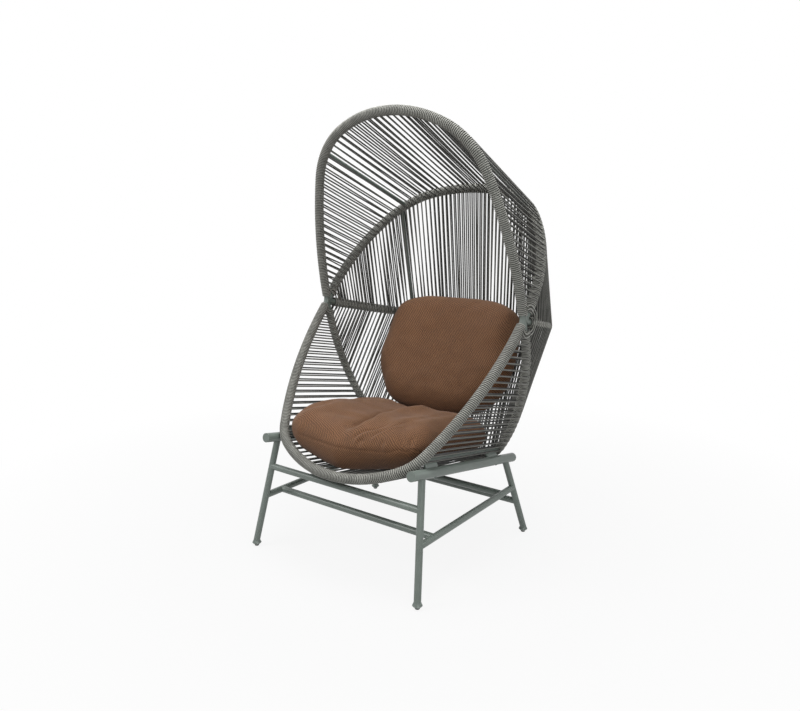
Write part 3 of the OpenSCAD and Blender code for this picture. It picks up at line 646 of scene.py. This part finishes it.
class Fold:
    """A fold in a cushion's top: a hollow with a ridge beside it. Its line is in millimetres, seen
    from above, and its other sizes are in metres. fade is the share of the line over which each
    end rises."""

    def __init__(self, line, depth, width, ridge, ridge_width=0.010, fade=(0.25, 0.25)):
        self.line = np.array(line, float) / 1000
        self.depth, self.width, self.fade = depth, width, fade
        self.ridge, self.ridge_width = ridge, ridge_width

    def rise(self, points):
        gap, side, share = near_line(points[:, :2], self.line)
        away = gap * side
        ends = np.clip(np.minimum(share / self.fade[0], (1 - share) / self.fade[1]), 0, 1)
        ends = ends * ends * (3 - 2 * ends)
        hollow = np.exp(-((away + self.width) / self.width) ** 2)
        crest = np.exp(-((away - self.ridge_width / 2) / self.ridge_width) ** 2)
        return ends * (self.ridge * crest - self.depth * hollow)


def blow_up(piece, seam, shape):
    """Blows the cover up as cloth that is held along its seam, and keeps it near the shape that
    it fills."""
    points = np.array([tuple(v.co) for v in piece.data.vertices])
    held = piece.vertex_groups.new(name="seam")
    for i, far in enumerate(near_line(points, seam)[0]):
        if far < SEAM_HOLD:
            held.add([i], 1 - float(far) / SEAM_HOLD, "REPLACE")
    cloth = piece.modifiers.new("cloth", "CLOTH")
    for name, value in CLOTH_SETTINGS.items():
        setattr(cloth.settings, name, value)
    cloth.settings.effector_weights.gravity = 0.0
    cloth.point_cache.frame_start, cloth.point_cache.frame_end = 1, CLOTH_FRAMES
    for f in range(1, CLOTH_FRAMES + 1):
        bpy.context.scene.frame_set(f)
    apply_modifiers(piece)
    bpy.context.scene.frame_set(1)
    places = []
    for v in piece.data.vertices:
        spot, normal, _, _ = shape.find_nearest(v.co)
        out = (v.co - spot).dot(normal)
        most = CLOTH_SWELL if normal.z > UNDERSIDE else 0.0
        places.append(tuple(v.co + (min(max(out, -CLOTH_SINK), most) - out) * normal))
    piece.data.vertices.foreach_set("co", np.array(places).ravel())


def rope_net(fan):
    """The surface that a fan's inner strands lie in, for a cushion to rest on."""
    corners, faces = [], []
    shares = [0.5 * (1 + k / fan.steps) for k in range(-int(fan.last), int(fan.last) + 1)]
    for i, share in enumerate(shares):
        route, _ = strand_route(fan, share, INNER)
        middle = len(route) // 2
        corners += route[middle - 1:middle + 1]
        if i > 0:
            faces.append((2 * i - 2, 2 * i - 1, 2 * i + 1, 2 * i))
    return BVHTree.FromPolygons(corners, faces)


def rest_on(points, net):
    """Moves a cover's points that are in or past the strands back to the strands' inner side."""
    centre = Vector(points.mean(axis=0))
    for i, point in enumerate(points):
        place = Vector(point)
        spot, normal, _, _ = net.find_nearest(place, NET_REACH)
        if spot is None:
            continue
        inward = normal if (centre - spot).dot(normal) > 0 else -normal
        clear = (place - spot).dot(inward)
        if clear < NET_GAP:
            points[i] = place + (NET_GAP - clear) * inward


def cushion(node, up, net, folds, swells, uneven, blown):
    """A stuffed cushion's cover, from its solid in fine faces: blown up as cloth if it is slack,
    then with its seam, folds, swells and unevenness, and resting on the strands. The back
    cushion's cover is taut and smooth, so that one isn't blown up. Node and body share a name."""
    piece = merged_copy(node, f"{node}_cover")
    shape = BVHTree.FromObject(piece, bpy.context.evaluated_depsgraph_get())
    seam = seam_line(piece, up)
    remesh = piece.modifiers.new("remesh", "REMESH")
    remesh.mode, remesh.voxel_size = "VOXEL", COVER_VOXEL
    apply_modifiers(piece)
    if blown:
        blow_up(piece, seam, shape)
    b = bmesh.new()
    b.from_mesh(piece.data)
    for _ in range(SMOOTHINGS):
        bmesh.ops.smooth_vert(b, verts=b.verts, factor=0.5,
                              use_axis_x=True, use_axis_y=True, use_axis_z=True)
    b.to_mesh(piece.data)
    b.free()
    smooth = piece.modifiers.new("smooth", "SUBSURF")
    smooth.levels = smooth.render_levels = 1
    apply_modifiers(piece)

    # The normals are read in one go, before any point moves: they would be worked out anew.
    mesh = piece.data
    outs, points = np.empty((2, 3 * len(mesh.vertices)))
    mesh.vertices.foreach_get("normal", outs)
    mesh.vertices.foreach_get("co", points)
    outs, points = outs.reshape(-1, 3), points.reshape(-1, 3)
    upper = np.clip((outs @ np.array(tuple(up))) / TOP_FADE + TOP_SHARE, 0, 1)
    rise = -SEAM_DEPTH * np.exp(-(near_line(points, seam)[0] / SEAM_WIDTH) ** 2)
    for fold in folds:
        rise = rise + upper * fold.rise(points)
    for centre, reach, amount in swells:
        away = np.linalg.norm(points - np.array(centre), axis=1)
        rise = rise + amount * np.exp(-(away / reach) ** 2)
    wobble = np.array([noise.noise(Vector(p) * BROAD_WAVES)
                       + 0.5 * noise.noise(Vector(p) * FINE_WAVES) for p in points])
    rise = rise + uneven * upper * wobble
    points = points + rise[:, None] * outs
    rest_on(points, rope_net(net))
    mesh.vertices.foreach_set("co", points.ravel())
    mesh.polygons.foreach_set("use_smooth", [True] * len(mesh.polygons))
    dress(piece, cushion_cloth, body=node)
    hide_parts(node)


seat_folds = [
    Fold([(140, 20), (75, -25), (35, -85), (33, -165), (46, -271), (40, -343), (20, -383),
          (3, -405)],
         depth=0.036, width=0.026, ridge=0.024, ridge_width=0.045, fade=(0.15, 0.5)),
    Fold([(189, -240), (186, -307), (171, -341), (147, -365), (133, -386), (120, -396)],
         depth=0.004, width=0.006, ridge=0.003, ridge_width=0.008),
    Fold([(156, -305), (120, -359), (86, -384), (72, -398), (62, -408)],
         depth=0.005, width=0.006, ridge=0.003, ridge_width=0.008),
    Fold([(110, -396), (97, -405), (80, -411)], depth=0.004, width=0.006, ridge=0.002),
    Fold([(186, -384), (181, -395), (174, -400)], depth=0.004, width=0.007, ridge=0.002),
    Fold([(254, -318), (269, -335), (264, -355)], depth=0.004, width=0.007, ridge=0.002)]
# Where a cushion is stuffed fuller: the place, its reach, and how far it stands out, in metres.
seat_swells = [((-0.25, -0.35, 0.41), 0.13, 0.026), ((-0.06, -0.41, 0.38), 0.15, 0.028),
               ((0.11, -0.02, 0.50), 0.13, 0.014), ((-0.12, 0.02, 0.49), 0.20, 0.008)]
back_swells = [((-0.19, 0.16, 0.49), 0.12, 0.016), ((0.00, 0.18, 0.462), 0.15, 0.018)]
cushion("seat_cushion", Vector((0, 0, 1)), seat, seat_folds, seat_swells,
        uneven=0.0035, blown=True)
cushion("back_cushion", Vector((0, -0.94, 0.34)).normalized(), lower_back, [], back_swells,
        uneven=0.003, blown=False)


# Floor, light and camera

def seen_directly(tree):
    """1 for the rays that see a surface from the camera, in a mirror or through glass."""
    light_path = add(tree, "ShaderNodeLightPath")
    seen = light_path.outputs["Is Camera Ray"]
    for ray in ("Is Glossy Ray", "Is Transmission Ray"):
        seen = maths(tree, "MAXIMUM", seen, light_path.outputs[ray])
    return seen


def studio_floor():
    """A pale seamless floor. The camera and mirrors see it as nine tenths plain white within 0.9 m
    of the chair's middle and wholly white from 2.2 m on, so its shadow is faint."""
    b = bmesh.new()
    bmesh.ops.create_grid(b, x_segments=1, y_segments=1, size=30.0)
    mesh = bpy.data.meshes.new("floor")
    b.to_mesh(mesh)
    b.free()
    floor = add_object("floor", mesh)
    material, tree, shader = new_material("pale_floor")
    shader.inputs["Base Color"].default_value = linear("#b4b4b4")
    shader.inputs["Roughness"].default_value = 0.9
    far = add(tree, "ShaderNodeVectorMath", {"operation": "LENGTH"}, i0=object_place(tree))
    share = span(tree, far.outputs["Value"], from_min=0.9, from_max=2.2, to_min=0.9, to_max=1.0)
    lit = maths(tree, "MULTIPLY", seen_directly(tree), share)
    glow = add(tree, "ShaderNodeEmission", Color=WHITE, Strength=1.0)
    mix = add(tree, "ShaderNodeMixShader", Fac=lit, i1=shader.outputs[0], i2=glow.outputs[0])
    tree.links.new(mix.outputs[0], tree.nodes["Material Output"].inputs["Surface"])
    mesh.materials.append(material)


def studio_world():
    """A soft even light, which the camera and mirrors see as plain white."""
    world = bpy.data.worlds.new("studio")
    bpy.context.scene.world = world
    world.use_nodes = True
    tree = world.node_tree
    white = add(tree, "ShaderNodeBackground", Color=WHITE, Strength=1.0)
    soft = add(tree, "ShaderNodeBackground", Color=WHITE, Strength=0.22)
    mix = add(tree, "ShaderNodeMixShader", Fac=seen_directly(tree),
              i1=soft.outputs[0], i2=white.outputs[0])
    tree.links.new(mix.outputs[0], tree.nodes["World Output"].inputs["Surface"])


def softbox(name, place, aim, width, power):
    """A round softbox, with its width in metres and its power in watts."""
    lamp = bpy.data.lights.new(name, "AREA")
    lamp.shape, lamp.size, lamp.energy = "DISK", width, power
    light = add_object(name, lamp)
    light.location = place
    light.rotation_euler = (Vector(aim) - Vector(place)).to_track_quat("-Z", "Y").to_euler()


def photo_camera():
    """The camera that took the photograph: 800 pixels wide at a focal length of 737 pixels."""
    frame_w, focal = 800, 737
    azimuth, pitch = math.radians(37.0), math.radians(11.6)
    camera = bpy.data.cameras.new("camera")
    camera.sensor_width = 36.0
    camera.lens = camera.sensor_width * focal / frame_w
    camera.clip_end = 200
    seer = add_object("camera", camera)
    seer.location = (1.6584, FEET_MID_Y - 2.1528, 1.296)
    seer.rotation_euler = (math.pi / 2 - pitch, 0, azimuth)
    bpy.context.scene.camera = seer


studio_floor()
studio_world()
softbox("key", (-2.3, -2.9, 3.3), aim=(0, 0, 0.8), width=2.0, power=84)
softbox("fill", (3.4, -2.2, 2.2), aim=(0, 0, 0.8), width=2.6, power=58)
softbox("top", (0.2, 0.2, 4.2), aim=(0, 0, 0.6), width=2.6, power=160)
photo_camera()
bpy.context.scene.view_settings.view_transform = "Standard"
